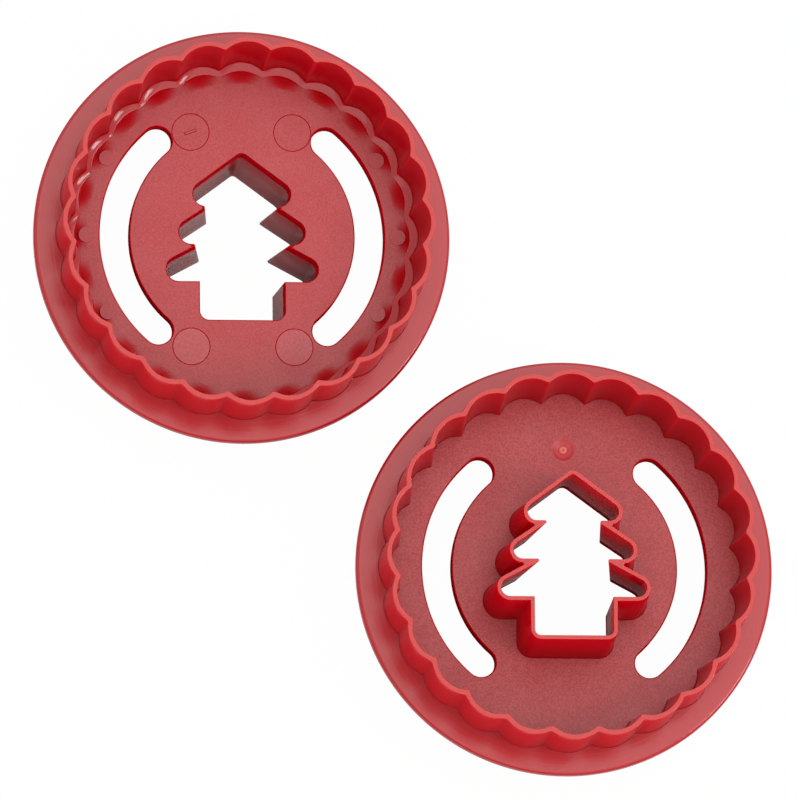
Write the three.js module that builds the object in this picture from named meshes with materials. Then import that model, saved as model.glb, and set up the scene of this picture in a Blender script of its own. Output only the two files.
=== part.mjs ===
import * as THREE from "three";

// Two double-sided linzer cookie cutters, one lying each way up. Millimetres, +Z up.
// A cutter is a round disc with a fluted cutting wall on both faces. The plain face cuts the
// whole biscuit. The window face also carries a tree-shaped wall, which cuts a biscuit with a
// see-through tree.

// Disc that carries the walls
const DISC_THICKNESS = 3;
const FLANGE_WIDTH = 4; // from the foot of the fluted wall to the disc's edge
const FLANGE_EDGE_RADIUS = 0.6;

// Fluted cutting walls
const WALL_HEIGHT = 15.5; // from the disc's face to the cutting edge, on both faces
const CREST_RADIUS = 33.9; // outer face at the middle of a flute, at the cutting edge
const FLUTE_COUNT = 24;
const EDGE_WIDTH = 0.84; // flat land of the cutting edge, at the middle of a flute
const OUTER_FLUTE_DEPTH = 1.25; // from a crest in to the valley between two flutes
const INNER_FLUTE_DEPTH = 1.5; // more than outside, so the wall is thickest between flutes
const OUTER_DRAFT = 0.1; // how far the outer face spreads from the edge down to the foot
const INNER_DRAFT = 0.9; // how far the inner face spreads

// Arc slots through the disc
const SLOT_RADIUS = 23.3; // middle line of the slot, about the disc's axis
const SLOT_WIDTH = 5.35;
const SLOT_HALF_ANGLE = 48.6; // degrees from the slot's middle to the centre of a round end

// Tree-shaped window as it opens on the plain face, measured from the disc's axis
const TREE_TOP = 15.3;
const TREE_TOP_RADIUS = 1.5;
const TRUNK_HALF_WIDTH = 7.85;
const TRUNK_BOTTOM = -15.6;
const TRUNK_CORNER_RADIUS = 1.8;
const BRANCH_TIP_RADIUS = 2.35;
const TOP_BRANCH_REACH = 8.98; // half width over the tips
const TOP_BRANCH_UNDERSIDE = 5.45;
const TOP_NOTCH = 6.45; // half width just under the branch
const MIDDLE_BRANCH_REACH = 11.6;
const MIDDLE_BRANCH_UNDERSIDE = -1.6;
const MIDDLE_NOTCH = 8.1;
const LOW_BRANCH_REACH = 13.95;
const LOW_BRANCH_UNDERSIDE = -8.5;
const NOTCH_RADIUS = 0.3;

// Wall round the window
const WINDOW_TAPER = 0.68; // the window narrows by this on each side down to the cutting edge
const TREE_EDGE_WIDTH = 0.72;
const TREE_FOOT_WIDTH = 0.95;

// How the two cutters lie
const CUTTER_GAP = 8.3; // between the two flange edges
const PAIR_ANGLE = -46.15; // degrees, from the left cutter to the right one

// Steps in each round stretch
const RIM_STEPS = 72;
const FLUTE_STEPS = 6;
const FLANGE_EDGE_STEPS = 2;
const SLOT_SIDE_STEPS = 14;
const SLOT_END_STEPS = 6;
const BRANCH_STEPS = 8;
const CORNER_STEPS = 3;

// Sizes that follow from the ones above
const FACE = DISC_THICKNESS / 2; // level of the plain face, with the disc's middle at zero
const EDGE_LEVEL = FACE + WALL_HEIGHT;
const DISC_RADIUS = CREST_RADIUS + OUTER_DRAFT + FLANGE_WIDTH;
const INNER_CREST = CREST_RADIUS - EDGE_WIDTH;
const FOOT_CREST = INNER_CREST - INNER_DRAFT;
const FOOT_VALLEY = CREST_RADIUS + OUTER_DRAFT - OUTER_FLUTE_DEPTH;
const SEAM_RADIUS = (FOOT_CREST + FOOT_VALLEY) / 2; // flange and plate meet under the fluted walls
const BRANCHES = [
  { reach: TOP_BRANCH_REACH, underside: TOP_BRANCH_UNDERSIDE, notch: TOP_NOTCH },
  { reach: MIDDLE_BRANCH_REACH, underside: MIDDLE_BRANCH_UNDERSIDE, notch: MIDDLE_NOTCH },
  { reach: LOW_BRANCH_REACH, underside: LOW_BRANCH_UNDERSIDE, notch: TRUNK_HALF_WIDTH },
];
const DOWN = -Math.PI / 2;
const UP = Math.PI / 2;

// Finishes of the one red plastic
const grained = new THREE.MeshStandardMaterial({ color: 0xb5353d, roughness: 0.6, metalness: 0 });
const turned = new THREE.MeshStandardMaterial({ color: 0xbd3a41, roughness: 0.42, metalness: 0 });
const polished = new THREE.MeshStandardMaterial({ color: 0xb00f1d, roughness: 0.22, metalness: 0 });

function point(radius, angle, centre = new THREE.Vector2()) {
  return new THREE.Vector2(Math.cos(angle), Math.sin(angle)).multiplyScalar(radius).add(centre);
}

function arc(centre, radius, start, end, steps) {
  const stepAngle = (end - start) / steps;
  return Array.from({ length: steps + 1 }, (_, i) => point(radius, start + i * stepAngle, centre));
}

function circle(radius) {
  return arc(new THREE.Vector2(), radius, 0, 2 * Math.PI, RIM_STEPS).slice(0, -1);
}

function mirrored(points) {
  return points.map((p) => new THREE.Vector2(-p.x, p.y)).reverse();
}

function raised(points, level) {
  return points.map((p) => new THREE.Vector3(p.x, p.y, level));
}

// Closed ring through loops with the same number of points, from the first back to the first.
function ringThrough(loops) {
  const count = loops[0].length;
  const positions = loops.flat().flatMap((p) => [p.x, p.y, p.z]);
  const triangles = [];
  loops.forEach((_, j) => {
    const here = j * count;
    const there = ((j + 1) % loops.length) * count;
    for (let i = 0; i < count; i += 1) {
      const next = (i + 1) % count;
      triangles.push(here + i, here + next, there + next, here + i, there + next, there + i);
    }
  });
  const ring = new THREE.BufferGeometry();
  ring.setAttribute("position", new THREE.Float32BufferAttribute(positions, 3));
  ring.setIndex(triangles);
  ring.computeVertexNormals();
  return ring;
}

// One level of a face of the fluted wall. Each flute is one arc, and neighbouring arcs meet in a
// sharp valley.
function fluteOutline(crest, depth) {
  const halfPitch = Math.PI / FLUTE_COUNT;
  const valley = crest - depth;
  const chordRise = crest - valley * Math.cos(halfPitch);
  const centre = (crest ** 2 - valley ** 2) / (2 * chordRise);
  const fluteRadius = crest - centre;
  const points = [];
  for (let flute = 0; flute < FLUTE_COUNT; flute += 1) {
    for (let step = 0; step < FLUTE_STEPS; step += 1) {
      const turn = halfPitch * ((2 * step) / FLUTE_STEPS - 1);
      const along = centre * Math.cos(turn);
      const across = centre * Math.sin(turn);
      const reach = along + Math.sqrt(fluteRadius ** 2 - across ** 2);
      points.push(point(reach, 2 * halfPitch * flute + turn));
    }
  }
  return points;
}

// Angle of the outward normal of the line that touches two round corners on their right.
function tangentAngle(upper, upperRadius, lower, lowerRadius) {
  const along = lower.clone().sub(upper);
  const lean = Math.acos((upperRadius - lowerRadius) / along.length());
  return along.angle() + lean - 2 * Math.PI;
}

// Each branch's round tip, and the slope that comes down to it from the top or the notch above.
const treeTopCentre = new THREE.Vector2(0, TREE_TOP - TREE_TOP_RADIUS);
const tiers = BRANCHES.map(({ reach, underside }, i) => {
  const tip = new THREE.Vector2(reach - BRANCH_TIP_RADIUS, underside + BRANCH_TIP_RADIUS);
  const above = BRANCHES[i - 1];
  const slopeStart = above ? new THREE.Vector2(above.notch, above.underside) : treeTopCentre;
  const startRadius = above ? 0 : TREE_TOP_RADIUS;
  const slope = tangentAngle(slopeStart, startRadius, tip, BRANCH_TIP_RADIUS);
  const normal = point(1, slope);
  return { tip, underside, slope, normal, level: normal.dot(tip) + BRANCH_TIP_RADIUS };
});

// Small round in the notch under a tier, and the angle at which the tier's tip then starts. The
// round touches the slope below and the flat underside or, where the outline has grown past
// that, the tip itself.
function notchRound(tier, below, offset) {
  const line = below.level + offset + NOTCH_RADIUS;
  const start = below.slope + Math.PI;
  const centre = new THREE.Vector2(0, tier.underside - offset - NOTCH_RADIUS);
  centre.x = (line - below.normal.y * centre.y) / below.normal.x;
  if (centre.x <= tier.tip.x) {
    return { points: arc(centre, NOTCH_RADIUS, start, UP, CORNER_STEPS), tipStart: DOWN };
  }
  const tipRadius = BRANCH_TIP_RADIUS + offset;
  const beyondLine = below.normal.dot(tier.tip) - line;
  const tipStart = start + Math.acos(beyondLine / (tipRadius + NOTCH_RADIUS)) - 2 * Math.PI;
  const onTip = point(tipRadius + NOTCH_RADIUS, tipStart, tier.tip);
  return { points: arc(onTip, NOTCH_RADIUS, start, tipStart + Math.PI, CORNER_STEPS), tipStart };
}

// From the notch under a tier out along its underside and round its tip to the slope above.
function tierOutline(tier, notch, tipStart, offset) {
  const tipRadius = BRANCH_TIP_RADIUS + offset;
  const tipFoot = point(tipRadius, tipStart, tier.tip);
  const path = new THREE.Path().moveTo(notch.x, notch.y);
  if (tipStart === DOWN) {
    path.lineTo(tipFoot.x, tipFoot.y);
  }
  path.absarc(tier.tip.x, tier.tip.y, tipRadius, tipStart, tier.slope, false);
  return path.getSpacedPoints(BRANCH_STEPS).slice(1);
}

// Window on the plain face, grown outwards by an offset: right half, top, then left half.
function treeOutline(offset) {
  const cornerIn = TRUNK_HALF_WIDTH - TRUNK_CORNER_RADIUS;
  const corner = new THREE.Vector2(cornerIn, TRUNK_BOTTOM + TRUNK_CORNER_RADIUS);
  const lowest = tiers.at(-1);
  const trunkTop = new THREE.Vector2(TRUNK_HALF_WIDTH + offset, lowest.underside - offset);
  const half = [
    ...arc(corner, TRUNK_CORNER_RADIUS + offset, DOWN, 0, CORNER_STEPS),
    trunkTop,
    ...tierOutline(lowest, trunkTop, DOWN, offset),
  ];
  for (let i = tiers.length - 2; i >= 0; i -= 1) {
    const { points, tipStart } = notchRound(tiers[i], tiers[i + 1], offset);
    half.push(...points, ...tierOutline(tiers[i], points.at(-1), tipStart, offset));
  }
  const top = arc(treeTopCentre, TREE_TOP_RADIUS + offset, tiers[0].slope, UP, CORNER_STEPS);
  half.push(...top.slice(0, -1));
  return [...half, top.at(-1), ...mirrored(half)];
}

function slotOutline() {
  const half = THREE.MathUtils.degToRad(SLOT_HALF_ANGLE);
  const round = SLOT_WIDTH / 2;
  const axis = new THREE.Vector2();
  const outer = arc(axis, SLOT_RADIUS + round, -half, half, SLOT_SIDE_STEPS);
  const upper = arc(point(SLOT_RADIUS, half), round, half, half + Math.PI, SLOT_END_STEPS);
  const inner = arc(axis, SLOT_RADIUS - round, half, -half, SLOT_SIDE_STEPS);
  const lower = arc(point(SLOT_RADIUS, -half), round, Math.PI - half, 2 * Math.PI - half, SLOT_END_STEPS);
  return [...outer, ...upper.slice(1, -1), ...inner, ...lower.slice(1, -1)];
}

// Plate inside the fluted walls, with the two slots and the window cut through.
function centrePlate() {
  const shape = new THREE.Shape(circle(SEAM_RADIUS));
  const slot = slotOutline();
  const holes = [slot, mirrored(slot), treeOutline(0)];
  shape.holes = holes.map((outline) => new THREE.Path(outline));
  const plate = new THREE.ExtrudeGeometry(shape, { depth: DISC_THICKNESS, bevelEnabled: false });
  return plate.translate(0, 0, -FACE);
}

// Ring that the hand presses on, outside the fluted walls, with a rounded edge.
function pressFlange() {
  const flat = DISC_RADIUS - FLANGE_EDGE_RADIUS;
  const low = new THREE.Vector2(flat, FLANGE_EDGE_RADIUS - FACE);
  const high = new THREE.Vector2(flat, FACE - FLANGE_EDGE_RADIUS);
  const section = [
    new THREE.Vector2(SEAM_RADIUS, -FACE),
    ...arc(low, FLANGE_EDGE_RADIUS, DOWN, 0, FLANGE_EDGE_STEPS),
    ...arc(high, FLANGE_EDGE_RADIUS, 0, UP, FLANGE_EDGE_STEPS),
    new THREE.Vector2(SEAM_RADIUS, FACE),
  ];
  return ringThrough(section.map((p) => raised(circle(p.x), p.y)));
}

// Fluted wall on one face of the disc: side 1 is the plain face and side -1 the window face.
function flutedWall(side) {
  const loops = [
    raised(fluteOutline(CREST_RADIUS + OUTER_DRAFT, OUTER_FLUTE_DEPTH), side * FACE),
    raised(fluteOutline(CREST_RADIUS, OUTER_FLUTE_DEPTH), side * EDGE_LEVEL),
    raised(fluteOutline(INNER_CREST, INNER_FLUTE_DEPTH), side * EDGE_LEVEL),
    raised(fluteOutline(FOOT_CREST, INNER_FLUTE_DEPTH), side * FACE),
  ];
  return ringThrough(side > 0 ? loops : loops.reverse());
}

// Tree-shaped wall on the window face. Its inside carries on from the window in the plate.
function treeWall() {
  return ringThrough([
    raised(treeOutline(0), -FACE),
    raised(treeOutline(-WINDOW_TAPER), -EDGE_LEVEL),
    raised(treeOutline(TREE_EDGE_WIDTH - WINDOW_TAPER), -EDGE_LEVEL),
    raised(treeOutline(TREE_FOOT_WIDTH), -FACE),
  ]);
}

function piece(name, geometry, material) {
  const mesh = new THREE.Mesh(geometry, material);
  mesh.name = name;
  return mesh;
}

// One cutter, with its plain face up and the middle of its disc at zero.
function cutter(place) {
  return new THREE.Group().add(
    piece(`${place}_press_flange`, pressFlange(), turned),
    piece(`${place}_centre_plate`, centrePlate(), grained),
    piece(`${place}_plain_side_wall`, flutedWall(1), polished),
    piece(`${place}_window_side_wall`, flutedWall(-1), polished),
    piece(`${place}_tree_wall`, treeWall(), polished),
  );
}

const toRight = point(DISC_RADIUS + CUTTER_GAP / 2, THREE.MathUtils.degToRad(PAIR_ANGLE));

const left = cutter("left");
left.position.set(-toRight.x, -toRight.y, EDGE_LEVEL);

// The right cutter is turned over, so its window face is up.
const right = cutter("right");
right.position.set(toRight.x, toRight.y, EDGE_LEVEL);
right.rotation.y = Math.PI;

export default new THREE.Group().add(left, right);
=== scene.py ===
"""Two double-sided linzer cookie cutters, one lying plain side up and one window side up."""

import math

import bmesh
import bpy
from mathutils import Matrix, Vector


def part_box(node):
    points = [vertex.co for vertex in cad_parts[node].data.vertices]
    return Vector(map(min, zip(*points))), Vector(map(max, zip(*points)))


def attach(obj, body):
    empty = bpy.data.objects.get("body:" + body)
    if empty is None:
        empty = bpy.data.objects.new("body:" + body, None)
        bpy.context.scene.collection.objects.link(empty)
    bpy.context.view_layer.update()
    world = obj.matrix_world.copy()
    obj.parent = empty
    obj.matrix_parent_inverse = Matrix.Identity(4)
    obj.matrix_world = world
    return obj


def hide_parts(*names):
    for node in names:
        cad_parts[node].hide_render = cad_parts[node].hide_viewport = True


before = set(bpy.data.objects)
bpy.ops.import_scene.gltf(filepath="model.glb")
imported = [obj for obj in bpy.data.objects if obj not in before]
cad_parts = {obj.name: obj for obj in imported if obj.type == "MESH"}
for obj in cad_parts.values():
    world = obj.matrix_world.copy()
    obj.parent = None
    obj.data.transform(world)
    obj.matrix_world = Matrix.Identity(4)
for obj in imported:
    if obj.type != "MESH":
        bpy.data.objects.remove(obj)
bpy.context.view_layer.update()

bl_info = {
    "name": "Linzer cookie cutters",
    "version": (1, 0, 0),
    "blender": (4, 5, 0),
    "location": "View3D > Sidebar > Cutters",
    "description": "Builds a pair of double-sided linzer cutters with a tree window",
    "category": "Add Mesh",
}

MM = 0.001
FULL_TURN = 2 * math.pi
QUARTER_TURN = math.pi / 2

# The right cutter is turned over, so its window face is up.
TURNED_OVER = {"left": False, "right": True}

# How finely the round stretches and the walls are cut
FLUTE_STEPS = 20
RIM_STEPS = 240
ROUND_STEPS = 5
DIP_STEPS = 8
WALL_ROWS = 6
SLOT_SIDE_STEPS = 48
SLOT_END_STEPS = 16
TIP_STEPS = 10
CORNER_STEPS = 6
MARK_STEPS = 40
ROOT_STEPS = 3

# How far a wall reaches down into the disc, so that no gap shows at its foot
SINK = 1.0 * MM

# Points nearer than this are one point
MERGE = 0.0005 * MM

# Finishes of the plate, in the order of its materials
PLAIN_GRAIN, WINDOW_GRAIN, PIN_SMOOTH, POLISHED, TORN = range(5)

# Large ejector marks on the plain face, in millimetres from the axis, and their finish
LARGE_MARKS = [
    (-9.3, 19.2, PLAIN_GRAIN),
    (9.3, 19.2, PLAIN_GRAIN),
    (-9.4, -20.5, PIN_SMOOTH),
    (9.4, -20.5, PIN_SMOOTH),
]

# Small ejector marks on the plain face, in degrees about the axis
PIN_ANGLES = [-30, 0, 30, 150, 180, 210]

# Bend in the ramp at a wall's inner foot, in shares of its width and height, and its radius in widths
RAMP_BEND = (0.43, 0.28)
RAMP_BEND_RADIUS = 0.4

# A flat beside a round is a little longer than the radius, so that the round fits on it
BESIDE_ROUND = 1.01

# Middle of a small round in two steps, as a share of its radius in from both sides
ROUND_MIDDLE = 0.3

# How the fall of the plain face steepens towards the wall, as a power
DIP_CURVE = 1.5

# Section of the gate's stub from its side to its hollow, in shares of its radius and the dish's depth
STUB_SECTION = [(1, 0.95), (0.94, 0.4), (0.7, 0.25), (0.45, 0.25), (0.3, 0.45), (0, 0.45)]

# Where the torn ring of the stub begins, as a share of its radius
STUB_HOLLOW = 0.36

# Polypropylene: how it bends light, how far light gets through it, and its shares of red, green, blue
POLYPROPYLENE_IOR = 1.49
GLOW_REACH = 1.5 * MM
GLOW_SHARES = (1.0, 0.06, 0.06)

# Sizes in the finishes. Real spark grains and lathe rings are too fine to show, so these are coarser.
GRAINS = 0.3 * MM
PIN_GRAINS = 0.5 * MM
CLOUDS = 9 * MM
RINGS = 0.35 * MM
SCUFFS = 1.2 * MM
PATCHES = 1.5 * MM
FIBRES = 0.2 * MM
GRAIN_DEPTH = 0.06 * MM
RING_DEPTH = 0.03 * MM
FIBRE_DEPTH = 0.05 * MM

# What most of a noise pattern lies between, and its middle
NOISE_LOW, NOISE_MIDDLE, NOISE_HIGH = 0.3, 0.5, 0.7

# Upright parts of the normal, where a finish leaves that of steep faces and reaches that of level
# ones. Level faces of the plate take the painted sheen, and steep faces of the flange rim and the
# walls take the painted shade.
GRAIN_SLOPES = (0.955, 0.997)
RIM_SLOPES = (0.4, 0.9)
LAND_SLOPES = (0.2, 0.7)

# How much a finish mirrors on steep faces and on level ones
TURNED_SHINE = (0.04, 0.55)
POLISHED_SHINE = (0.03, 0.5)

# How far the roughness of a finish goes up and down over a face
GRAINED_SPREAD = 0.06
TURNED_SPREAD = 0.05
POLISHED_SPREAD = 0.04

# Polished walls: how sharply the gloss and the plastic's own red start at the disc's face, how far up
# the painted shade at the foot fades, and where below the cutting edge the paler painted glow starts
# and is full
FACE_MARGIN = 0.03 * MM
FOOT_FADE = 13 * MM
EDGE_START, EDGE_FULL = 0.3 * MM, 0.02 * MM

# Stage: white and the paper's shade, the floor's half width and its drop below the cutters, and the
# camera's sensor in millimetres and its sight in metres
WHITE = "#FFFFFF"
PAPER = "#C8C8C8"
FLOOR_REACH = 4.0
FLOOR_DROP = 0.02 * MM
SENSOR_WIDTH = 36
SIGHT = 100

FLANGE_LOW, FLANGE_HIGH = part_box("left_press_flange")
PLATE_LOW, PLATE_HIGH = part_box("left_centre_plate")
WALL_LOW, WALL_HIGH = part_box("left_plain_side_wall")


def hex_colour(text):
    """Linear colour of an sRGB hex value."""
    shares = [int(text[i:i + 2], 16) / 255 for i in (1, 3, 5)]
    linear = [s / 12.92 if s <= 0.04045 else ((s + 0.055) / 1.055) ** 2.4 for s in shares]
    return (*linear, 1.0)


def length(name, description, metres):
    """Property that holds a length."""
    return bpy.props.FloatProperty(
        name=name, description=description, default=metres, unit="LENGTH", precision=5
    )


def angle(name, description, degrees):
    """Property that holds an angle."""
    return bpy.props.FloatProperty(
        name=name, description=description, default=math.radians(degrees), unit="ROTATION"
    )


def power(name, description, watts):
    """Property that holds a lamp's power."""
    return bpy.props.FloatProperty(name=name, description=description, default=watts, unit="POWER")


def colour(name, description, value):
    """Property that holds a colour, given as an sRGB hex value."""
    return bpy.props.FloatVectorProperty(
        name=name, description=description, default=hex_colour(value), subtype="COLOR", size=4,
        min=0, max=1,
    )


def factor(name, description, value):
    """Property that holds a share from zero to one."""
    return bpy.props.FloatProperty(
        name=name, description=description, default=value, min=0, max=1, subtype="FACTOR"
    )


class DiscSizes(bpy.types.PropertyGroup):
    """Flange and plate, with slots, dips, ejector marks and gate"""

    radius: length("Radius", "Outside of the press flange", (FLANGE_HIGH.x - FLANGE_LOW.x) / 2)
    thickness: length("Thickness", "Between the two faces", FLANGE_HIGH.z - FLANGE_LOW.z)
    seam_radius: length("Seam radius", "Where flange and plate meet", (PLATE_HIGH.x - PLATE_LOW.x) / 2)
    edge_radius: length("Edge radius", "Round on the flange's edge", 0.6 * MM)
    slot_radius: length("Slot radius", "Middle line of a slot, about the axis", 23.3 * MM)
    slot_width: length("Slot width", "Across a slot", 5.35 * MM)
    slot_half_angle: angle("Slot half angle", "From a slot's middle to the centre of its end", 48.6)
    slot_edge_radius: length("Slot edge radius", "Round on the edges of a slot", 0.25 * MM)
    dip_radius: length("Dip radius", "Where the plain face starts to fall to the wall", 28.2 * MM)
    dip_width: length("Dip width", "How wide the falling border is", 2.3 * MM)
    dip_depth: length("Dip depth", "How far the plain face falls beside each flute", 0.75 * MM)
    large_mark_radius: length("Large mark radius", "Large ejector marks", 3.4 * MM)
    small_mark_radius: length("Small mark radius", "Small ejector marks", 1.6 * MM)
    mark_groove: length("Mark groove", "Half width and depth of the line round a mark", 0.09 * MM)
    pin_place: length("Pin place", "From the axis out to a small ejector mark", 28.4 * MM)
    pin_slope: length("Pin slope", "How much smaller a small mark is at its top", 0.15 * MM)
    pin_rise: length("Pin rise", "How far a small mark stands proud", 0.1 * MM)
    number_length: length("Number length", "Along the stroke of the cavity number", 2.4 * MM)
    number_width: length("Number width", "Across the stroke of the cavity number", 0.55 * MM)
    number_slope: length("Number slope", "How much smaller the stroke is at its top", 0.15 * MM)
    number_rise: length("Number rise", "How far the cavity number stands proud", 0.2 * MM)
    number_turn: angle("Number turn", "How far the stroke is turned", 20)
    gate_radius: length("Gate radius", "Dish round the gate on the window face", 2.15 * MM)
    gate_depth: length("Gate depth", "How deep the dish is", 0.4 * MM)
    gate_place: length("Gate place", "From the axis up to the gate", 21.8 * MM)
    nub_radius: length("Nub radius", "Stub left in the middle of the gate", 0.75 * MM)


class WallSizes(bpy.types.PropertyGroup):
    """Fluted cutting walls"""

    height: length("Height", "From the disc's face to the cutting edge", WALL_HIGH.z - WALL_LOW.z)
    flute_count: bpy.props.IntProperty(
        name="Flutes", description="Flutes round the wall", default=24, min=6
    )
    crest_radius: length("Crest radius", "Outer face at the middle of a flute", 33.9 * MM)
    edge_width: length("Edge width", "Land of the cutting edge", 0.84 * MM)
    outer_depth: length("Outer flute depth", "From a crest in to the valley, outside", 1.25 * MM)
    inner_depth: length("Inner flute depth", "From a crest in to the valley, inside", 1.5 * MM)
    window_foot_depth: length("Window foot depth", "The same at the foot, window side", 1.9 * MM)
    outer_draft: length("Outer draft", "How far the outer face spreads to its foot", 0.1 * MM)
    inner_draft: length("Inner draft", "How far the inner face spreads to its foot", 0.9 * MM)
    edge_round: length("Edge round", "Round on both sides of the land", 0.1 * MM)
    outer_root: length("Outer root", "Round where the outer face meets the flange", 0.15 * MM)
    ramp_width: length("Ramp width", "Polished ramp at the inner foot, plain side", 1.65 * MM)
    ramp_height: length("Ramp height", "How far the ramp climbs to the wall", 0.6 * MM)
    window_root: length("Window side root", "Round at the inner foot, window side", 0.15 * MM)
    valley_round: angle("Valley round", "Half angle that is rounded off between two flutes", 0.3)
    ramp_valley_round: angle("Ramp valley round", "The same at the inner side of the ramp", 1.7)
    ramp_lip: length("Ramp lip", "Round on the inner side of the ramp", 0.3 * MM)


class TreeSizes(bpy.types.PropertyGroup):
    """Tree window and the wall about it"""

    top: length("Top", "From the axis up to the top of the window", 15.3 * MM)
    top_radius: length("Top radius", "Round at the top", 1.5 * MM)
    trunk_half_width: length("Trunk half width", "Half of the trunk", 7.85 * MM)
    bottom: length("Bottom", "From the axis to the trunk's foot", -15.6 * MM)
    corner_radius: length("Corner radius", "Round on the trunk's corners", 1.8 * MM)
    tip_radius: length("Tip radius", "Round on the branch tips", 2.35 * MM)
    top_reach: length("Top branch reach", "Half width over the top tips", 8.98 * MM)
    top_underside: length("Top branch underside", "Level of its underside", 5.45 * MM)
    top_notch: length("Top notch", "Half width just under the top branch", 6.45 * MM)
    middle_reach: length("Middle branch reach", "Half width over the middle tips", 11.6 * MM)
    middle_underside: length("Middle branch underside", "Level of its underside", -1.6 * MM)
    middle_notch: length("Middle notch", "Half width just under the middle branch", 8.1 * MM)
    low_reach: length("Low branch reach", "Half width over the low tips", 13.95 * MM)
    low_underside: length("Low branch underside", "Level of its underside", -8.5 * MM)
    notch_radius: length("Notch radius", "Round in the notches", 0.3 * MM)
    taper: length("Window taper", "How far each side narrows to the cutting edge", 0.68 * MM)
    edge_width: length("Edge width", "Land of the cutting edge", 0.72 * MM)
    foot_width: length("Foot width", "Wall at its foot", 0.95 * MM)
    rim_round: length("Rim round", "Round on the window's rim, plain side", 0.2 * MM)
    rim_spread: length("Rim spread", "How much wider the rim starts on the plain face", 0.1 * MM)
    root: length("Root", "Round where the wall meets the window face", 0.15 * MM)
    edge_round: length("Edge round", "Round on both sides of the land", 0.07 * MM)


class Finishes(bpy.types.PropertyGroup):
    """Colours and roughness of the one plastic"""

    red: colour("Red", "Polished walls, the plastic's own colour", "#AA0412")
    # Painted shade: a darker red put on steep faces, rims and the lower part of a wall
    shaded_red: colour("Shaded red", "Where the plastic is thick, at the foot of a wall", "#9A040E")
    torn_red: colour("Torn red", "Stub of the gate", "#D06258")
    # Painted glow: a paler red that stands in for light shining through the thin cutting edges
    edge_glow_red: colour("Edge glow red", "Thin edges, which light passes through", "#A61814")
    grain_dark: colour("Grain dark", "Plate, between the grains", "#8C0A12")
    # Grain with painted sheen: the pale specks of the plate and of the smooth ejector marks stand in
    # for light mirrored off the grains
    grain_sheen_pale: colour("Grain sheen pale", "Plate, on the grains", "#A42A2E")
    pin_sheen_pale: colour("Pin sheen pale", "Smooth ejector marks, on the grains", "#B04A4E")
    turned_dark: colour("Turned dark", "Flange, in the rings", "#960E16")
    turned_pale: colour("Turned pale", "Flange, between the rings", "#A8161E")
    grained_roughness: factor("Grained roughness", "Plate", 0.38)
    turned_roughness: factor("Turned roughness", "Flange", 0.18)
    polished_roughness: factor("Polished roughness", "Walls", 0.13)
    torn_roughness: factor("Torn roughness", "Stub of the gate", 0.6)


class StageSettings(bpy.types.PropertyGroup):
    """Light, floor and camera"""

    surround: bpy.props.FloatProperty(
        name="Surround", description="Light that the white surround gives", default=1.15, min=0
    )
    floor_glow: factor("Floor glow", "Share of the floor that shows as plain white", 0.98)
    floor_mirrored: factor("Floor mirrored", "The same share where a glossy wall mirrors it", 0.09)
    softbox_power: power("Softbox power", "Overhead softbox", 1.6)
    key_power: power("Key power", "Smaller lamp at the right", 1.8)
    front_power: power("Front power", "Large softbox at the front", 2.8)
    tilt: angle("Tilt", "Camera, away from straight above", 11.6)
    tilt_direction: angle("Tilt direction", "Side that the camera leans from", 60.5)
    distance: length("Distance", "From the camera to the cutters", 3.0)
    view_height: length("View height", "What the picture takes in at the cutters", 145.6 * MM)
    target: bpy.props.FloatVectorProperty(
        name="Target", description="Middle of the picture", size=3, subtype="TRANSLATION",
        default=(-0.7 * MM, 0.6 * MM, 17 * MM),
    )


def cutter_place(side):
    """From a cutter's own frame, plain face up with the disc's middle at zero, to its place."""
    low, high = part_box(f"{side}_press_flange")
    turn = math.pi if TURNED_OVER[side] else 0
    return Matrix.Translation((low + high) / 2) @ Matrix.Rotation(turn, 4, "Y")


def add_node(tree, kind, inputs=None, **settings):
    """Adds a node, sets its options, and fills its inputs with sockets or plain values."""
    node = tree.nodes.new(kind)
    for name, value in settings.items():
        setattr(node, name, value)
    for name, value in (inputs or {}).items():
        if isinstance(value, bpy.types.NodeSocket):
            tree.links.new(value, node.inputs[name])
        else:
            node.inputs[name].default_value = value
    return node


def new_material(name):
    """Node material with no nodes in it yet."""
    material = bpy.data.materials.new(name)
    material.use_nodes = True
    material.node_tree.nodes.clear()
    return material


def start_finish(name):
    """Node material for a finish, its node tree, and the coordinates that its patterns lie on."""
    material = new_material(name)
    tree = material.node_tree
    return material, tree, add_node(tree, "ShaderNodeTexCoord").outputs["Object"]


def facing_up(tree, low, high):
    """Share that is zero on steep faces and one on level ones, between two slopes."""
    normal = add_node(tree, "ShaderNodeTexCoord").outputs["Normal"]
    upright = add_node(tree, "ShaderNodeSeparateXYZ", {"Vector": normal}).outputs["Z"]
    lie = add_node(tree, "ShaderNodeMath", {0: upright}, operation="ABSOLUTE").outputs["Value"]
    return add_node(
        tree, "ShaderNodeMapRange", {"Value": lie, "From Min": low, "From Max": high}
    ).outputs["Result"]


def varied_gloss(tree, place, size, roughness, spread, detail=3.0):
    """Roughness that goes up and down a little, in patches of a real size."""
    patches = add_node(
        tree, "ShaderNodeTexNoise", {"Vector": place, "Scale": 1 / size, "Detail": detail}
    ).outputs["Fac"]
    return add_node(
        tree, "ShaderNodeMapRange",
        {
            "Value": patches, "From Min": NOISE_LOW, "From Max": NOISE_HIGH,
            "To Min": roughness - spread, "To Max": roughness + spread,
        },
    ).outputs["Result"]


def plastic_output(tree, colour_in, roughness, relief=None, shine=0.5, glow=0.0):
    """Polypropylene under the given colour, roughness and surface relief. The shine is how much it
    mirrors, and the glow is the share of red light that gets a little way through it."""
    inputs = {
        "Base Color": colour_in, "Roughness": roughness, "IOR": POLYPROPYLENE_IOR,
        "Specular IOR Level": shine, "Subsurface Weight": glow, "Subsurface Radius": GLOW_SHARES,
        "Subsurface Scale": GLOW_REACH,
    }
    if relief:
        inputs["Normal"] = relief
    shader = add_node(tree, "ShaderNodeBsdfPrincipled", inputs)
    add_node(tree, "ShaderNodeOutputMaterial", {"Surface": shader.outputs["BSDF"]})


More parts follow.
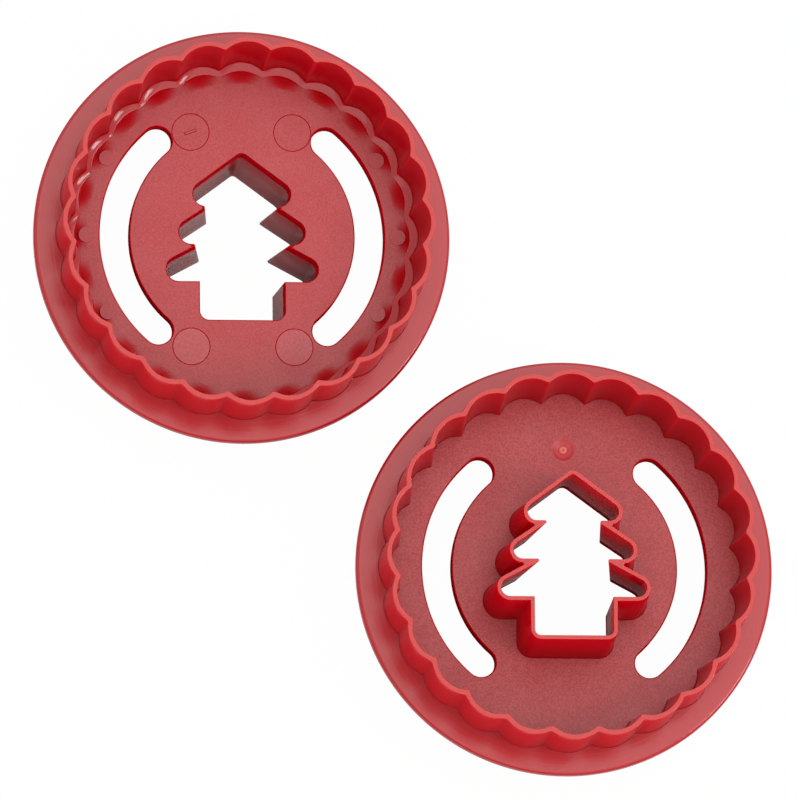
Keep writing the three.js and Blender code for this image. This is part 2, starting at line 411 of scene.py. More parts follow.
def grained_polypropylene(finishes, name, grain, spread, pale):
    """Polypropylene moulded against a spark-eroded face: a matte skin of fine grains, whose pale
    specks are grain with painted sheen, sharper at a smaller spread. Where the face falls away the
    steel was polished, so the grains and their painted sheen fade out there and the red is deep."""
    material, tree, place = start_finish(name)
    grains = add_node(
        tree, "ShaderNodeTexNoise",
        {"Vector": place, "Scale": 1 / grain, "Detail": 2.0, "Roughness": 0.6},
    ).outputs["Fac"]
    specks = add_node(
        tree, "ShaderNodeMapRange",
        {
            "Value": grains, "From Min": NOISE_MIDDLE - spread,
            "From Max": NOISE_MIDDLE + spread,
        },
    ).outputs["Result"]
    # Grain with painted sheen: pale specks mixed into the red stand in for light mirrored off the
    # grains
    haze = add_node(
        tree, "ShaderNodeMix", {"Factor": specks, 6: finishes.grain_dark, 7: pale},
        data_type="RGBA",
    ).outputs[2]
    # Level faces take the grain with its painted sheen, steep faces the plain red
    shade = add_node(
        tree, "ShaderNodeMix",
        {"Factor": facing_up(tree, *GRAIN_SLOPES), 6: finishes.red, 7: haze}, data_type="RGBA",
    ).outputs[2]
    gloss = varied_gloss(tree, place, CLOUDS, finishes.grained_roughness, GRAINED_SPREAD)
    relief = add_node(
        tree, "ShaderNodeBump", {"Height": grains, "Strength": 0.5, "Distance": GRAIN_DEPTH}
    ).outputs["Normal"]
    plastic_output(tree, shade, gloss, relief)
    return material


def turned_polypropylene(finishes, side):
    """Polypropylene moulded against a lathe-turned face: satin, with faint rings about the cutter's
    axis. Its rounded rim is plain deep red, the painted shade red of steep faces."""
    material, tree, place = start_finish(f"Turned polypropylene, {side}")
    axis = cutter_place(side).translation
    centred = add_node(
        tree, "ShaderNodeMapping", {"Vector": place, "Location": (-axis.x, -axis.y, 0)}
    ).outputs["Vector"]
    flat = add_node(
        tree, "ShaderNodeVectorMath", {0: centred, 1: (1, 1, 0)}, operation="MULTIPLY"
    ).outputs["Vector"]
    reach = add_node(
        tree, "ShaderNodeVectorMath", {0: flat}, operation="LENGTH"
    ).outputs["Value"]
    rings = add_node(
        tree, "ShaderNodeTexNoise", {"W": reach, "Scale": 1 / RINGS, "Detail": 2.0},
        noise_dimensions="1D",
    ).outputs["Fac"]
    satin = add_node(
        tree, "ShaderNodeMix", {"Factor": rings, 6: finishes.turned_dark, 7: finishes.turned_pale},
        data_type="RGBA",
    ).outputs[2]
    level_share = facing_up(tree, *RIM_SLOPES)
    # Painted shade: steep faces of the rim take the shaded red instead of the satin
    shade = add_node(
        tree, "ShaderNodeMix", {"Factor": level_share, 6: finishes.shaded_red, 7: satin},
        data_type="RGBA",
    ).outputs[2]
    steep_shine, level_shine = TURNED_SHINE
    shine = add_node(
        tree, "ShaderNodeMapRange",
        {"Value": level_share, "To Min": steep_shine, "To Max": level_shine},
    ).outputs["Result"]
    gloss = varied_gloss(tree, place, SCUFFS, finishes.turned_roughness, TURNED_SPREAD)
    relief = add_node(
        tree, "ShaderNodeBump", {"Height": rings, "Strength": 0.25, "Distance": RING_DEPTH}
    ).outputs["Normal"]
    plastic_output(tree, shade, gloss, relief, shine)
    return material


def polished_polypropylene(finishes, name, middle, foot_level, edge_level):
    """Polypropylene moulded against a polished steel face: glossy red, with painted shade that makes
    steep faces darker towards the foot of a wall, and a paler painted glow along the thin cutting
    edges for light shining through them. Upright faces mirror little, so they show hardly any haze,
    and the rims of slots and window show none and take the painted shade."""
    material, tree, place = start_finish(name)
    level = add_node(tree, "ShaderNodeSeparateXYZ", {"Vector": place}).outputs["Z"]
    from_middle = add_node(
        tree, "ShaderNodeMath", {0: level, 1: middle}, operation="SUBTRACT"
    ).outputs["Value"]
    height = add_node(
        tree, "ShaderNodeMath", {0: from_middle}, operation="ABSOLUTE"
    ).outputs["Value"]
    above_face = add_node(
        tree, "ShaderNodeMapRange",
        {
            "Value": height, "From Min": foot_level - FACE_MARGIN,
            "From Max": foot_level + FACE_MARGIN,
        },
    ).outputs["Result"]
    # Painted shade: steep faces, and all faces at or below the disc's face, take the shaded red; level
    # faces above it the plastic's own red
    level_share = add_node(
        tree, "ShaderNodeMath", {0: facing_up(tree, *LAND_SLOPES), 1: above_face},
        operation="MULTIPLY",
    ).outputs["Value"]
    shade = add_node(
        tree, "ShaderNodeMix", {"Factor": level_share, 6: finishes.shaded_red, 7: finishes.red},
        data_type="RGBA",
    ).outputs[2]
    # Going up a wall the painted shade fades into the own red, and just below the cutting edge the
    # paler painted glow comes in
    for start, end, paler in (
        (foot_level, foot_level + FOOT_FADE, finishes.red),
        (edge_level - EDGE_START, edge_level - EDGE_FULL, finishes.edge_glow_red),
    ):
        painted_fade = add_node(
            tree, "ShaderNodeMapRange",
            {"Value": height, "From Min": start, "From Max": end}, interpolation_type="SMOOTHSTEP",
        ).outputs["Result"]
        shade = add_node(
            tree, "ShaderNodeMix", {"Factor": painted_fade, 6: shade, 7: paler}, data_type="RGBA"
        ).outputs[2]
    gloss = varied_gloss(
        tree, place, PATCHES, finishes.polished_roughness, POLISHED_SPREAD, detail=2.0
    )
    steep_shine, level_shine = POLISHED_SHINE
    mirroring = add_node(
        tree, "ShaderNodeMapRange",
        {"Value": level_share, "To Min": steep_shine, "To Max": level_shine},
    ).outputs["Result"]
    shine = add_node(
        tree, "ShaderNodeMath", {0: mirroring, 1: above_face}, operation="MULTIPLY"
    ).outputs["Value"]
    plastic_output(tree, shade, gloss, shine=shine, glow=1.0)
    return material


def torn_polypropylene(finishes):
    """Polypropylene that was torn off at the gate: a pale matte spot."""
    material, tree, place = start_finish("Torn polypropylene")
    fibres = add_node(
        tree, "ShaderNodeTexNoise", {"Vector": place, "Scale": 1 / FIBRES, "Detail": 2.0}
    ).outputs["Fac"]
    relief = add_node(
        tree, "ShaderNodeBump", {"Height": fibres, "Strength": 0.5, "Distance": FIBRE_DEPTH}
    ).outputs["Normal"]
    plastic_output(tree, finishes.torn_red, finishes.torn_roughness, relief)
    return material


def shared_polish(context):
    """The polished finish, made once for all the walls."""
    name = "Polished polypropylene"
    found = bpy.data.materials.get(name)
    if found:
        return found
    middle = cutter_place("left").translation.z
    return polished_polypropylene(
        context.scene.cutter_finishes, name, middle, WALL_LOW.z - middle, WALL_HIGH.z - middle
    )


def close_shape(bm, label):
    """Merges a shape's seams and turns its faces outwards."""
    bmesh.ops.remove_doubles(bm, verts=bm.verts, dist=MERGE)
    bmesh.ops.recalc_face_normals(bm, faces=bm.faces)
    open_edges = sum(not edge.is_manifold for edge in bm.edges)
    if open_edges:
        raise RuntimeError(f"{label} is not closed: {open_edges} open edges")


def place_piece(bm, name, side, node, materials):
    """Puts a copy of a shape in its cutter, with its finish and the body that it rides on."""
    mesh = bpy.data.meshes.new(name)
    bm.to_mesh(mesh)
    mesh.transform(cutter_place(side))
    for material in materials:
        mesh.materials.append(material)
    piece = bpy.data.objects.new(name, mesh)
    bpy.context.scene.collection.objects.link(piece)
    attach(piece, f"{side}_cutter")
    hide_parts(node)


def section(bm, corners, closed=True):
    """Section through a few corners, each given as reach and level."""
    verts = [bm.verts.new((reach, 0, level)) for reach, level in corners]
    nexts = verts[1:] + verts[:1] if closed else verts[1:]
    for start, end in zip(verts, nexts):
        bm.edges.new((start, end))
    return verts


def round_corner(bm, corner, radius):
    """Rounds off one corner of a section."""
    bmesh.ops.bevel(
        bm, geom=[corner], offset=radius, offset_type="OFFSET", segments=ROUND_STEPS, profile=0.5,
        affect="VERTICES", material=-1,
    )


def turn_section(bm, steps):
    """Spins the section once round the axis."""
    bmesh.ops.spin(
        bm, geom=bm.verts[:] + bm.edges[:], cent=(0, 0, 0), axis=(0, 0, 1), angle=FULL_TURN,
        steps=steps, use_merge=True,
    )
    for face in bm.faces:
        face.smooth = True


def flatten_level(bm, level):
    """Shades the faces that lie flat at a level as flat."""
    for face in bm.faces:
        if all(abs(vert.co.z - level) < MERGE for vert in face.verts):
            face.smooth = False


def line_to(bm, pen, x, y):
    """Draws a straight stretch of an outline from the pen to a point."""
    end = bmesh.ops.extrude_vert_indiv(bm, verts=[pen])["verts"][0]
    end.co.x = x
    end.co.y = y
    return end


def arc_about(bm, pen, centre, sweep, steps):
    """Draws a round stretch of an outline from the pen about a centre."""
    swept = bmesh.ops.spin(
        bm, geom=[pen], cent=(centre.x, centre.y, pen.co.z), axis=(0, 0, 1), angle=sweep,
        steps=steps,
    )
    return swept["geom_last"][0]


def bridge_stack(bm, loops, material_index=0):
    """Skins a stack of loops, each to the next."""
    for near, far in zip(loops, loops[1:]):
        made = bmesh.ops.bridge_loops(bm, edges=near + far)
        for face in made["faces"]:
            face.smooth = True
            face.material_index = material_index


def flute_centre(walls, crest, depth):
    """Distance from the axis to the centre of the arc that makes one flute."""
    half_pitch = math.pi / walls.flute_count
    valley = crest - depth
    rise = crest - valley * math.cos(half_pitch)
    return (crest**2 - valley**2) / (2 * rise)


def mix(start, end, share):
    """Value part of the way from a start to an end, and never past either."""
    return start + min(max(share, 0), 1) * (end - start)


def press_flutes(bm, walls, foot_depth):
    """Moves a round wall's points in to their flutes. Each flute is an arc, deeper inside than
    outside and deepest at the inner foot, and the valleys grow rounder over the ramp there."""
    pitch = FULL_TURN / walls.flute_count
    inner_crest = walls.crest_radius - walls.edge_width
    inner_foot = inner_crest - walls.inner_draft
    for vert in bm.verts:
        reach = vert.co.xy.length
        turn = math.remainder(math.atan2(vert.co.y, vert.co.x), pitch)
        crest = max(reach, inner_foot)
        down_ramp = (inner_foot - reach) / walls.ramp_width
        rounding = mix(walls.valley_round, walls.ramp_valley_round, down_ramp)
        eased = pitch / 2 - math.hypot(pitch / 2 - abs(turn), rounding)
        over_land = (reach - inner_crest) / walls.edge_width
        depth = mix(walls.inner_depth, walls.outer_depth, over_land)
        depth += mix(0, foot_depth - walls.inner_depth, (inner_crest - reach) / walls.inner_draft)
        centre = flute_centre(walls, crest, depth)
        across = centre * math.sin(eased)
        drop = crest - centre * math.cos(eased) - math.sqrt((crest - centre) ** 2 - across**2)
        vert.co.xy *= (reach - drop) / reach


def press_flange(bm, disc):
    """Ring that the hand presses on, with a rounded edge."""
    half = disc.thickness / 2
    corners = section(bm, [
        (disc.seam_radius, -half),
        (disc.radius, -half),
        (disc.radius, half),
        (disc.seam_radius, half),
    ])
    for corner in corners[1:3]:
        round_corner(bm, corner, disc.edge_radius)
    turn_section(bm, RIM_STEPS)
    flatten_level(bm, half)
    flatten_level(bm, -half)


def fluted_wall(bm, disc, walls, ramped):
    """Fluted wall on the plain face: a section with its land and foot, spun and then fluted. The
    inner foot has a ramp, or else a plain round."""
    face = disc.thickness / 2
    edge = face + walls.height
    outer_foot = walls.crest_radius + walls.outer_draft
    inner_crest = walls.crest_radius - walls.edge_width
    inner_foot = inner_crest - walls.inner_draft
    if ramped:
        bend_in, bend_up = RAMP_BEND
        inner_corners = [
            (inner_foot, face + walls.ramp_height),
            (inner_foot - bend_in * walls.ramp_width, face + bend_up * walls.ramp_height),
            (inner_foot - walls.ramp_width, face),
        ]
        inner_rounds = [walls.outer_root, RAMP_BEND_RADIUS * walls.ramp_width, walls.ramp_lip]
    else:
        inner_corners = [(inner_foot, face), (inner_foot - BESIDE_ROUND * walls.window_root, face)]
        inner_rounds = [walls.window_root]
    corners = section(bm, [
        (outer_foot + BESIDE_ROUND * walls.outer_root, face - SINK),
        (outer_foot + BESIDE_ROUND * walls.outer_root, face),
        (outer_foot, face),
        (walls.crest_radius, edge),
        (inner_crest, edge),
        *inner_corners,
        (inner_corners[-1][0], face - SINK),
    ])
    rounds = [walls.outer_root, walls.edge_round, walls.edge_round, *inner_rounds]
    for corner, radius in zip(corners[2:], rounds):
        round_corner(bm, corner, radius)
    sides = [side for side in bm.edges if side.calc_length() > walls.height / 2]
    bmesh.ops.subdivide_edges(bm, edges=sides, cuts=WALL_ROWS)
    turn_section(bm, FLUTE_STEPS * walls.flute_count)
    flatten_level(bm, edge)
    press_flutes(bm, walls, walls.inner_depth if ramped else walls.window_foot_depth)


def join_ends(bm, known):
    """Joins the ends of what was drawn after the known edges, and returns its edges."""
    drawn = [edge for edge in bm.edges if edge not in known]
    verts = list({vert for edge in drawn for vert in edge.verts})
    bmesh.ops.remove_doubles(bm, verts=verts, dist=MERGE)
    return [edge for edge in bm.edges if edge not in known]


def slot_loop(bm, disc, grow, level, mirrored):
    """Outline of one slot, grown by an amount, at a level."""
    known = set(bm.edges)
    round_end = disc.slot_width / 2 + grow
    half = disc.slot_half_angle
    side = -1 if mirrored else 1
    axis = Vector((0, 0))
    lower = Vector((side * math.cos(half), -math.sin(half))) * disc.slot_radius
    upper = Vector((lower.x, -lower.y))
    start = lower * (1 + round_end / disc.slot_radius)
    pen = bm.verts.new((*start, level))
    pen = arc_about(bm, pen, axis, side * 2 * half, SLOT_SIDE_STEPS)
    pen = arc_about(bm, pen, upper, side * math.pi, SLOT_END_STEPS)
    pen = arc_about(bm, pen, axis, -side * 2 * half, SLOT_SIDE_STEPS)
    arc_about(bm, pen, lower, side * math.pi, SLOT_END_STEPS)
    return join_ends(bm, known)


def circle_loop(bm, radius, x, y, level):
    """Round outline about a point, at a level."""
    made = bmesh.ops.create_circle(
        bm, segments=MARK_STEPS, radius=radius, matrix=Matrix.Translation((x, y, level))
    )
    return list({edge for vert in made["verts"] for edge in vert.link_edges})


def tree_tiers(tree):
    """Each branch from the top down: the centre of its round tip, the angle, normal and distance of
    the slope above it, and the level of its underside."""
    start = Vector((0, tree.top - tree.top_radius))
    start_radius = tree.top_radius
    tiers = []
    for reach, underside, notch in (
        (tree.top_reach, tree.top_underside, tree.top_notch),
        (tree.middle_reach, tree.middle_underside, tree.middle_notch),
        (tree.low_reach, tree.low_underside, tree.trunk_half_width),
    ):
        tip = Vector((reach - tree.tip_radius, underside + tree.tip_radius))
        along = tip - start
        lean = math.acos((start_radius - tree.tip_radius) / along.length)
        slope = math.atan2(along.y, along.x) + lean
        normal = Vector((math.cos(slope), math.sin(slope)))
        line = normal.dot(tip) + tree.tip_radius
        tiers.append((tip, slope, normal, line, underside))
        start = Vector((notch, underside))
        start_radius = 0
    return tiers


def tree_loop(bm, tree, grow, level):
    """Outline of the tree window, grown by an amount, at a level. Half of it is drawn from the middle
    of the trunk's foot up to the top, and then mirrored."""
    known = set(bm.edges)
    tiers = tree_tiers(tree)
    tip_radius = tree.tip_radius + grow
    corner = Vector((tree.trunk_half_width, tree.bottom))
    corner += tree.corner_radius * Vector((-1, 1))
    pen = bm.verts.new((0, tree.bottom - grow, level))
    pen = line_to(bm, pen, corner.x, tree.bottom - grow)
    pen = arc_about(bm, pen, corner, QUARTER_TURN, CORNER_STEPS)
    tip, slope, normal, line, underside = tiers[-1]
    pen = line_to(bm, pen, tree.trunk_half_width + grow, underside - grow)
    pen = line_to(bm, pen, tip.x, underside - grow)
    pen = arc_about(bm, pen, tip, slope + QUARTER_TURN, TIP_STEPS)
    # Each branch above, with the notch below it. Where the notch leaves no flat on the underside, the
    # tip has one more step, so that all outlines have as many points.
    for tip, next_slope, next_normal, next_line, underside in reversed(tiers[:-1]):
        inset = line + grow + tree.notch_radius
        notch = Vector((0, underside - grow - tree.notch_radius))
        notch.x = (inset - normal.y * notch.y) / normal.x
        flat = notch.x <= tip.x
        tip_start = -QUARTER_TURN
        if not flat:
            past = (normal.dot(tip) - inset) / (tip_radius + tree.notch_radius)
            tip_start = slope + math.pi + math.acos(past) - FULL_TURN
            outward = Vector((math.cos(tip_start), math.sin(tip_start)))
            notch = tip + (tip_radius + tree.notch_radius) * outward
        slope_end = notch - tree.notch_radius * normal
        pen = line_to(bm, pen, slope_end.x, slope_end.y)
        pen = arc_about(bm, pen, notch, tip_start - slope, CORNER_STEPS)
        steps = TIP_STEPS + 1
        if flat:
            pen = line_to(bm, pen, tip.x, underside - grow)
            steps = TIP_STEPS
        pen = arc_about(bm, pen, tip, next_slope - tip_start, steps)
        slope, normal, line = next_slope, next_normal, next_line
    top = Vector((0, tree.top - tree.top_radius))
    shoulder = top + (tree.top_radius + grow) * normal
    pen = line_to(bm, pen, shoulder.x, shoulder.y)
    pen = arc_about(bm, pen, top, QUARTER_TURN - slope, CORNER_STEPS)
    pen.co.x = 0
    half = [edge for edge in bm.edges if edge not in known]
    verts = list({vert for edge in half for vert in edge.verts})
    bmesh.ops.mirror(bm, geom=verts + half, axis="X", merge_dist=2 * MERGE)
    return [edge for edge in bm.edges if edge not in known]


def quarter_round(radius, steps=ROUND_STEPS):
    """Steps of a quarter round, each with how far it still goes along and how far it has gone down.
    Loops less than 0.01 mm apart in level can't be bridged, so a small round has few steps."""
    angles = [QUARTER_TURN * i / steps for i in range(steps + 1)]
    return [(radius * (1 - math.sin(a)), radius * (1 - math.cos(a))) for a in angles]


def fill_face(bm, loops, material_index):
    """Fills the flat face between an outer loop and the loops inside it."""
    made = bmesh.ops.triangle_fill(
        bm, edges=[edge for loop in loops for edge in loop], use_beauty=True
    )
    for face in made["geom"]:
        if isinstance(face, bmesh.types.BMFace):
            face.material_index = material_index
            face.smooth = False


def open_slot(bm, disc, mirrored):
    """Wall of one slot with its rounded edges. Returns its loops on the plain and window face."""
    face = disc.thickness / 2
    profile = [(grow, face - down) for grow, down in quarter_round(disc.slot_edge_radius)]
    profile += [(grow, -level) for grow, level in reversed(profile)]
    loops = [slot_loop(bm, disc, grow, level, mirrored) for grow, level in profile]
    bridge_stack(bm, loops, POLISHED)
    return loops[0], loops[-1]


def press_mark(bm, disc, x, y, material_index):
    """Round mark that an ejector pin left in the plain face, with a fine groove about it. Returns
    the groove's rim."""
    face = disc.thickness / 2
    groove = disc.mark_groove
    radius = disc.large_mark_radius
    rim = circle_loop(bm, radius + groove, x, y, face)
    bottom = circle_loop(bm, radius, x, y, face - groove)
    floor = circle_loop(bm, radius - groove, x, y, face)
    bridge_stack(bm, [rim, bottom, floor], POLISHED)
    fill_face(bm, [floor], material_index)
    return rim


def raise_pin(bm, disc, degrees):
    """Small ejector mark beside the wall, a low round pad over the fall of the plain face."""
    top = disc.thickness / 2 + disc.pin_rise
    turn = Matrix.Rotation(math.radians(degrees), 4, "Z")
    made = bmesh.ops.create_cone(
        bm, cap_ends=True, segments=MARK_STEPS, radius1=disc.small_mark_radius,
        radius2=disc.small_mark_radius - disc.pin_slope, depth=SINK,
        matrix=turn @ Matrix.Translation((disc.pin_place, 0, top - SINK / 2)),
    )
    for face in {face for vert in made["verts"] for face in vert.link_faces}:
        face.material_index = PLAIN_GRAIN if len(face.verts) == MARK_STEPS else POLISHED


def gate_dish(bm, disc):
    """Dish on the window face with the stub of the gate in its middle. Returns its rim."""
    face = -disc.thickness / 2
    radius = disc.gate_radius
    nub = disc.nub_radius
    depth = disc.gate_depth
    known = set(bm.edges)
    shares = [1 - step / DIP_STEPS for step in range(DIP_STEPS)]
    profile = [(radius * t, depth * (1 - t * t)) for t in shares if radius * t > nub]
    profile += [(nub * out, depth * down) for out, down in STUB_SECTION]
    verts = [bm.verts.new((reach, disc.gate_place, face + down)) for reach, down in profile]
    wire = [bm.edges.new(pair) for pair in zip(verts, verts[1:])]
    bmesh.ops.spin(
        bm, geom=verts + wire, cent=(0, disc.gate_place, 0), axis=(0, 0, 1), angle=FULL_TURN,
        steps=MARK_STEPS, use_merge=True,
    )
    made = join_ends(bm, known)
    for facet in {facet for edge in made for facet in edge.link_faces}:
        facet.smooth = True
        out = (facet.calc_center_median() - Vector((0, disc.gate_place, face))).xy.length
        facet.material_index = TORN if STUB_HOLLOW * nub < out < nub else PIN_SMOOTH
    return [edge for edge in made if edge.is_boundary]


def raise_number(bm, disc):
    """Cavity number on the upper left mark, a plain stroke that lies on its side."""
    x, y, finish = LARGE_MARKS[0]
    size = Matrix.Diagonal((disc.number_length, disc.number_width, SINK, 1))
    turn = Matrix.Rotation(disc.number_turn, 4, "Z")
    place = Matrix.Translation((x * MM, y * MM, disc.thickness / 2 - SINK / 2))
    made = bmesh.ops.create_cube(bm, matrix=place @ turn @ size)
    sides = {face for vert in made["verts"] for face in vert.link_faces}
    for face in sides:
        face.material_index = POLISHED
    top = max(sides, key=lambda face: face.calc_center_median().z)
    top.material_index = finish
    bmesh.ops.inset_individual(
        bm, faces=[top], thickness=disc.number_slope, depth=disc.number_rise
    )
    for face in {face for edge in top.edges for face in edge.link_faces} - {top}:
        face.material_index = POLISHED


def gather_dips(bm, disc, flute_count):
    """Lifts the falling border level again between the flutes, so that a dip is left beside each."""
    face = disc.thickness / 2
    for vert in bm.verts:
        if vert.co.z > 0:
            share = (1 + math.cos(flute_count * math.atan2(vert.co.y, vert.co.x))) / 2
            vert.co.z = face - share * (face - vert.co.z)


def centre_plate(bm, disc, tree, flute_count):
    """Plate with slots, window, dips along the wall, ejector marks and gate."""
    face = disc.thickness / 2
    seam = disc.seam_radius
    shares = [step / DIP_STEPS for step in range(DIP_STEPS + 1)]
    dip = [
        (disc.dip_radius + disc.dip_width * t, face - disc.dip_depth * t**DIP_CURVE) for t in shares
    ]
    seam_side = [(seam, face - disc.dip_depth), (seam, -face), (disc.dip_radius, -face)]
    section(bm, dip + seam_side, closed=False)
    turn_section(bm, FLUTE_STEPS * flute_count)
    gather_dips(bm, disc, flute_count)
    for ring_face in bm.faces:
        upper = ring_face.calc_center_median().z > 0
        ring_face.material_index = PLAIN_GRAIN if upper else WINDOW_GRAIN
    flatten_level(bm, -face)
    rims = [edge for edge in bm.edges if edge.is_boundary]
    plain = [[edge for edge in rims if edge.verts[0].co.z > 0]]
    window = [[edge for edge in rims if edge.verts[0].co.z < 0]]
    for mirrored in (False, True):
        upper, lower = open_slot(bm, disc, mirrored)
        plain.append(upper)
        window.append(lower)
    rim = tree_loop(bm, tree, tree.rim_spread, face)
    hidden = tree_loop(bm, tree, 0, -face)
    bridge_stack(bm, [rim, hidden])
    plain.append(rim)
    window.append(hidden)
    for x, y, finish in LARGE_MARKS:
        plain.append(press_mark(bm, disc, x * MM, y * MM, finish))
    window.append(gate_dish(bm, disc))
    fill_face(bm, plain, PLAIN_GRAIN)
    fill_face(bm, window, WINDOW_GRAIN)
    for degrees in PIN_ANGLES:
        raise_pin(bm, disc, degrees)
    raise_number(bm, disc)


def tree_wall(bm, disc, walls, tree):
    """Tree-shaped wall on the window face, with a collar through the plate to the plain face."""
    face = disc.thickness / 2
    edge = -face - walls.height
    inner_edge = -tree.taper
    outer_edge = tree.edge_width - tree.taper
    bend = ROUND_MIDDLE * tree.edge_round
    throat = tree.rim_spread - tree.rim_round
    profile = [(throat + grow, face - down) for grow, down in quarter_round(tree.rim_round)]
    profile += [
        (inner_edge, edge + tree.edge_round),
        (inner_edge + bend, edge + bend),
        (inner_edge + tree.edge_round, edge),
        (outer_edge - tree.edge_round, edge),
        (outer_edge - bend, edge + bend),
        (outer_edge, edge + tree.edge_round),
    ]
    foot_round = quarter_round(tree.root, ROOT_STEPS)
    profile += [(tree.foot_width + grow, -face - rise) for rise, grow in foot_round]
    profile += [(tree.foot_width + tree.root, -face + SINK), (0, 0)]
    loops = [tree_loop(bm, tree, grow, level) for grow, level in profile]
    bridge_stack(bm, [*loops, loops[0]])
    flatten_level(bm, edge)


def lay_floor(stage):
    """White paper: seen directly it is nearly plain white, with a faint shadow left on it. Glossy
    walls mirror only a little of that white, and more of the paper's own shade."""
    material = new_material("White paper")
    tree = material.node_tree
    paper = add_node(tree, "ShaderNodeBsdfDiffuse", {"Color": hex_colour(PAPER)})
    white = add_node(tree, "ShaderNodeEmission", {"Color": hex_colour(WHITE), "Strength": 1.0})
    path = add_node(tree, "ShaderNodeLightPath")
    share = add_node(
        tree, "ShaderNodeMath", {0: path.outputs["Is Camera Ray"], 1: stage.floor_glow},
        operation="MULTIPLY",
    ).outputs["Value"]
    share = add_node(
        tree, "ShaderNodeMath",
        {0: path.outputs["Is Glossy Ray"], 1: stage.floor_mirrored, 2: share},
        operation="MULTIPLY_ADD",
    ).outputs["Value"]
    surface = add_node(
        tree, "ShaderNodeMixShader",
        {"Fac": share, 1: paper.outputs["BSDF"], 2: white.outputs["Emission"]},
    )
    add_node(tree, "ShaderNodeOutputMaterial", {"Surface": surface.outputs["Shader"]})
    bm = bmesh.new()
    bmesh.ops.create_grid(
        bm, x_segments=1, y_segments=1, size=FLOOR_REACH,
        matrix=Matrix.Translation((0, 0, -FLOOR_DROP)),
    )
    mesh = bpy.data.meshes.new("floor")
    bm.to_mesh(mesh)
    bm.free()
    mesh.materials.append(material)
    floor = bpy.data.objects.new("floor", mesh)
    bpy.context.scene.collection.objects.link(floor)


def light_surround(scene, stage):
    """White surround: plain white where it is seen, and a brighter light on what stands in it."""
    world = bpy.data.worlds.new("White surround")
    world.use_nodes = True
    tree = world.node_tree
    tree.nodes.clear()
    seen = add_node(tree, "ShaderNodeLightPath").outputs["Is Camera Ray"]
    strength = add_node(
        tree, "ShaderNodeMapRange", {"Value": seen, "To Min": stage.surround, "To Max": 1.0}
    ).outputs["Result"]
    light = add_node(
        tree, "ShaderNodeBackground", {"Color": hex_colour(WHITE), "Strength": strength}
    )
    add_node(tree, "ShaderNodeOutputWorld", {"Surface": light.outputs["Background"]})
    scene.world = world


def hang_lamp(name, size, place, watts):
    """Square lamp that is aimed at the cutters, with its size and place in metres."""
    lamp = bpy.data.lights.new(name, "AREA")
    lamp.shape = "SQUARE"
    lamp.size = size
    lamp.energy = watts
    holder = bpy.data.objects.new(name, lamp)
    holder.location = place
    holder.rotation_euler = (-Vector(place)).to_track_quat("-Z", "Y").to_euler()
    bpy.context.scene.collection.objects.link(holder)


def set_camera(scene, stage):
    """Camera high above the cutters, leaning a little from straight down."""
    camera = bpy.data.cameras.new("Camera")
    camera.sensor_width = SENSOR_WIDTH
    camera.lens = camera.sensor_width * stage.distance / stage.view_height
    camera.clip_end = SIGHT
    holder = bpy.data.objects.new("Camera", camera)
    lean_axis = (math.sin(stage.tilt_direction), -math.cos(stage.tilt_direction), 0)
    turn = Matrix.Rotation(stage.tilt, 4, lean_axis)
    back = turn.to_3x3() @ Vector((0, 0, stage.distance))
    holder.matrix_world = Matrix.Translation(Vector(stage.target) + back) @ turn
    scene.collection.objects.link(holder)
    scene.camera = holder


class CutterOperator:
    """What all the operators share."""

    bl_options = {"REGISTER", "UNDO"}


class CUTTERS_OT_flanges(CutterOperator, bpy.types.Operator):
    """Turn the ring that the hand presses on, for both cutters"""

    bl_idname = "cutters.flanges"
    bl_label = "Press flanges"

    def execute(self, context):
        bm = bmesh.new()
        press_flange(bm, context.scene.cutter_disc)
        close_shape(bm, "flange")
        for side in TURNED_OVER:
            finish = turned_polypropylene(context.scene.cutter_finishes, side)
            place_piece(bm, f"{side}_flange", side, f"{side}_press_flange", [finish])
        bm.free()
        return {"FINISHED"}


class CUTTERS_OT_plates(CutterOperator, bpy.types.Operator):
    """Cut the plate with its slots and window, for both cutters"""

    bl_idname = "cutters.plates"
    bl_label = "Centre plates"

    def execute(self, context):
        scene = context.scene
        finishes = scene.cutter_finishes
        materials = [
            grained_polypropylene(finishes, f"{name} polypropylene", grain, spread, pale)
            for name, grain, spread, pale in (
                ("Fine-grained", GRAINS, 0.22, finishes.grain_sheen_pale),
                ("Coarse-grained", GRAINS, 0.1, finishes.grain_sheen_pale),
                ("Pin-smooth", PIN_GRAINS, 0.5, finishes.pin_sheen_pale),
            )
        ]
        materials += [shared_polish(context), torn_polypropylene(finishes)]
        bm = bmesh.new()
        centre_plate(bm, scene.cutter_disc, scene.cutter_tree, scene.cutter_walls.flute_count)
        close_shape(bm, "plate")
        for side in TURNED_OVER:
            place_piece(bm, f"{side}_plate", side, f"{side}_centre_plate", materials)
        bm.free()
        return {"FINISHED"}


class CUTTERS_OT_fluted_walls(CutterOperator, bpy.types.Operator):
    """Flute the cutting walls on both faces of both cutters"""

    bl_idname = "cutters.fluted_walls"
    bl_label = "Fluted walls"

    def execute(self, context):
        disc = context.scene.cutter_disc
        walls = context.scene.cutter_walls
        for which, turn in (("plain", 0), ("window", math.pi)):
            bm = bmesh.new()
            fluted_wall(bm, disc, walls, ramped=which == "plain")
            close_shape(bm, f"{which} wall")
            bmesh.ops.rotate(bm, matrix=Matrix.Rotation(turn, 3, "Y"), verts=bm.verts)
            for side in TURNED_OVER:
                place_piece(
                    bm, f"{side}_{which}_wall", side, f"{side}_{which}_side_wall",
                    [shared_polish(context)],
                )
            bm.free()
        return {"FINISHED"}


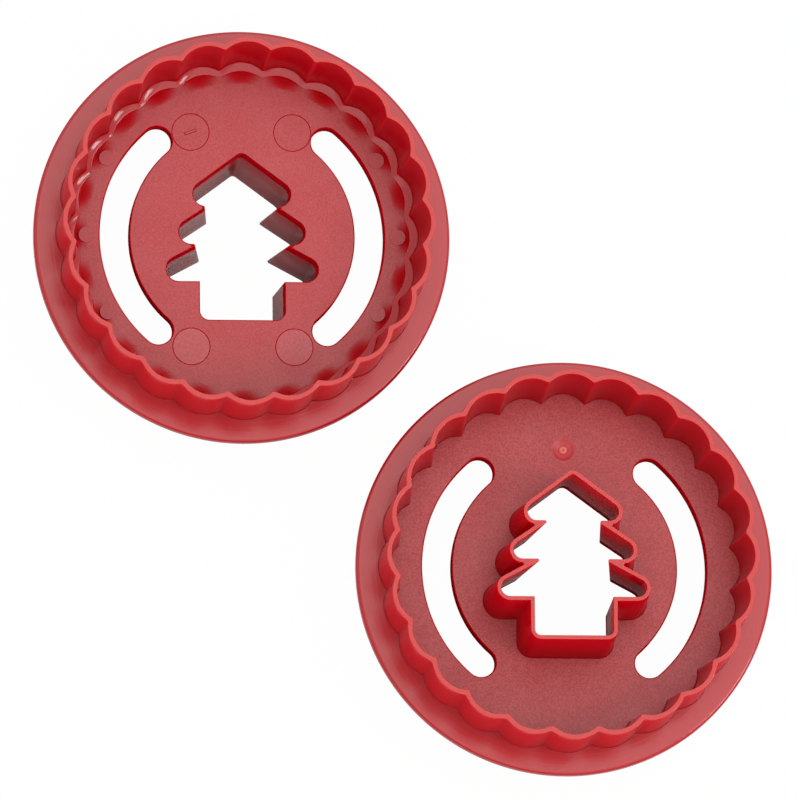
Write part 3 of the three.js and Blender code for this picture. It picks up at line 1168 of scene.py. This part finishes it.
class CUTTERS_OT_tree_walls(CutterOperator, bpy.types.Operator):
    """Raise the tree-shaped wall on the window face of both cutters"""

    bl_idname = "cutters.tree_walls"
    bl_label = "Tree walls"

    def execute(self, context):
        scene = context.scene
        bm = bmesh.new()
        tree_wall(bm, scene.cutter_disc, scene.cutter_walls, scene.cutter_tree)
        close_shape(bm, "tree wall")
        for side in TURNED_OVER:
            place_piece(
                bm, f"{side}_tree", side, f"{side}_tree_wall", [shared_polish(context)]
            )
        bm.free()
        return {"FINISHED"}


class CUTTERS_OT_stage(CutterOperator, bpy.types.Operator):
    """Lay the white floor and set the lights and the camera"""

    bl_idname = "cutters.stage"
    bl_label = "Stage"

    def execute(self, context):
        scene = context.scene
        stage = scene.cutter_stage
        lay_floor(stage)
        light_surround(scene, stage)
        for name, size, place, watts in (
            ("Overhead softbox", 0.6, (0.12, 0.2, 0.75), stage.softbox_power),
            ("Key lamp", 0.25, (0.53, -0.21, 0.7), stage.key_power),
            ("Front softbox", 1.0, (-0.14, -0.55, 0.75), stage.front_power),
        ):
            hang_lamp(name, size, place, watts)
        set_camera(scene, stage)
        scene.view_settings.view_transform = "Standard"
        return {"FINISHED"}


class CUTTERS_PT_panel(bpy.types.Panel):
    """Sidebar panel with one button for each step"""

    bl_idname = "CUTTERS_PT_panel"
    bl_label = "Linzer cutters"
    bl_space_type = "VIEW_3D"
    bl_region_type = "UI"
    bl_category = "Cutters"

    def draw(self, context):
        for operator in OPERATORS:
            self.layout.operator(operator.bl_idname)


GROUPS = {
    "cutter_disc": DiscSizes,
    "cutter_walls": WallSizes,
    "cutter_tree": TreeSizes,
    "cutter_finishes": Finishes,
    "cutter_stage": StageSettings,
}
OPERATORS = [
    CUTTERS_OT_flanges,
    CUTTERS_OT_plates,
    CUTTERS_OT_fluted_walls,
    CUTTERS_OT_tree_walls,
    CUTTERS_OT_stage,
]


def register():
    """Makes the settings, operators and panel known."""
    for group in GROUPS.values():
        bpy.utils.register_class(group)
    for name, group in GROUPS.items():
        setattr(bpy.types.Scene, name, bpy.props.PointerProperty(type=group))
    for operator in OPERATORS:
        bpy.utils.register_class(operator)
    bpy.utils.register_class(CUTTERS_PT_panel)


def unregister():
    """Takes them away again, the last one first."""
    bpy.utils.unregister_class(CUTTERS_PT_panel)
    for operator in reversed(OPERATORS):
        bpy.utils.unregister_class(operator)
    for name in GROUPS:
        delattr(bpy.types.Scene, name)
    for group in reversed(GROUPS.values()):
        bpy.utils.unregister_class(group)


def main():
    """Builds both cutters and the stage."""
    register()
    bpy.ops.cutters.flanges()
    bpy.ops.cutters.plates()
    bpy.ops.cutters.fluted_walls()
    bpy.ops.cutters.tree_walls()
    bpy.ops.cutters.stage()


if __name__ == "__main__":
    main()
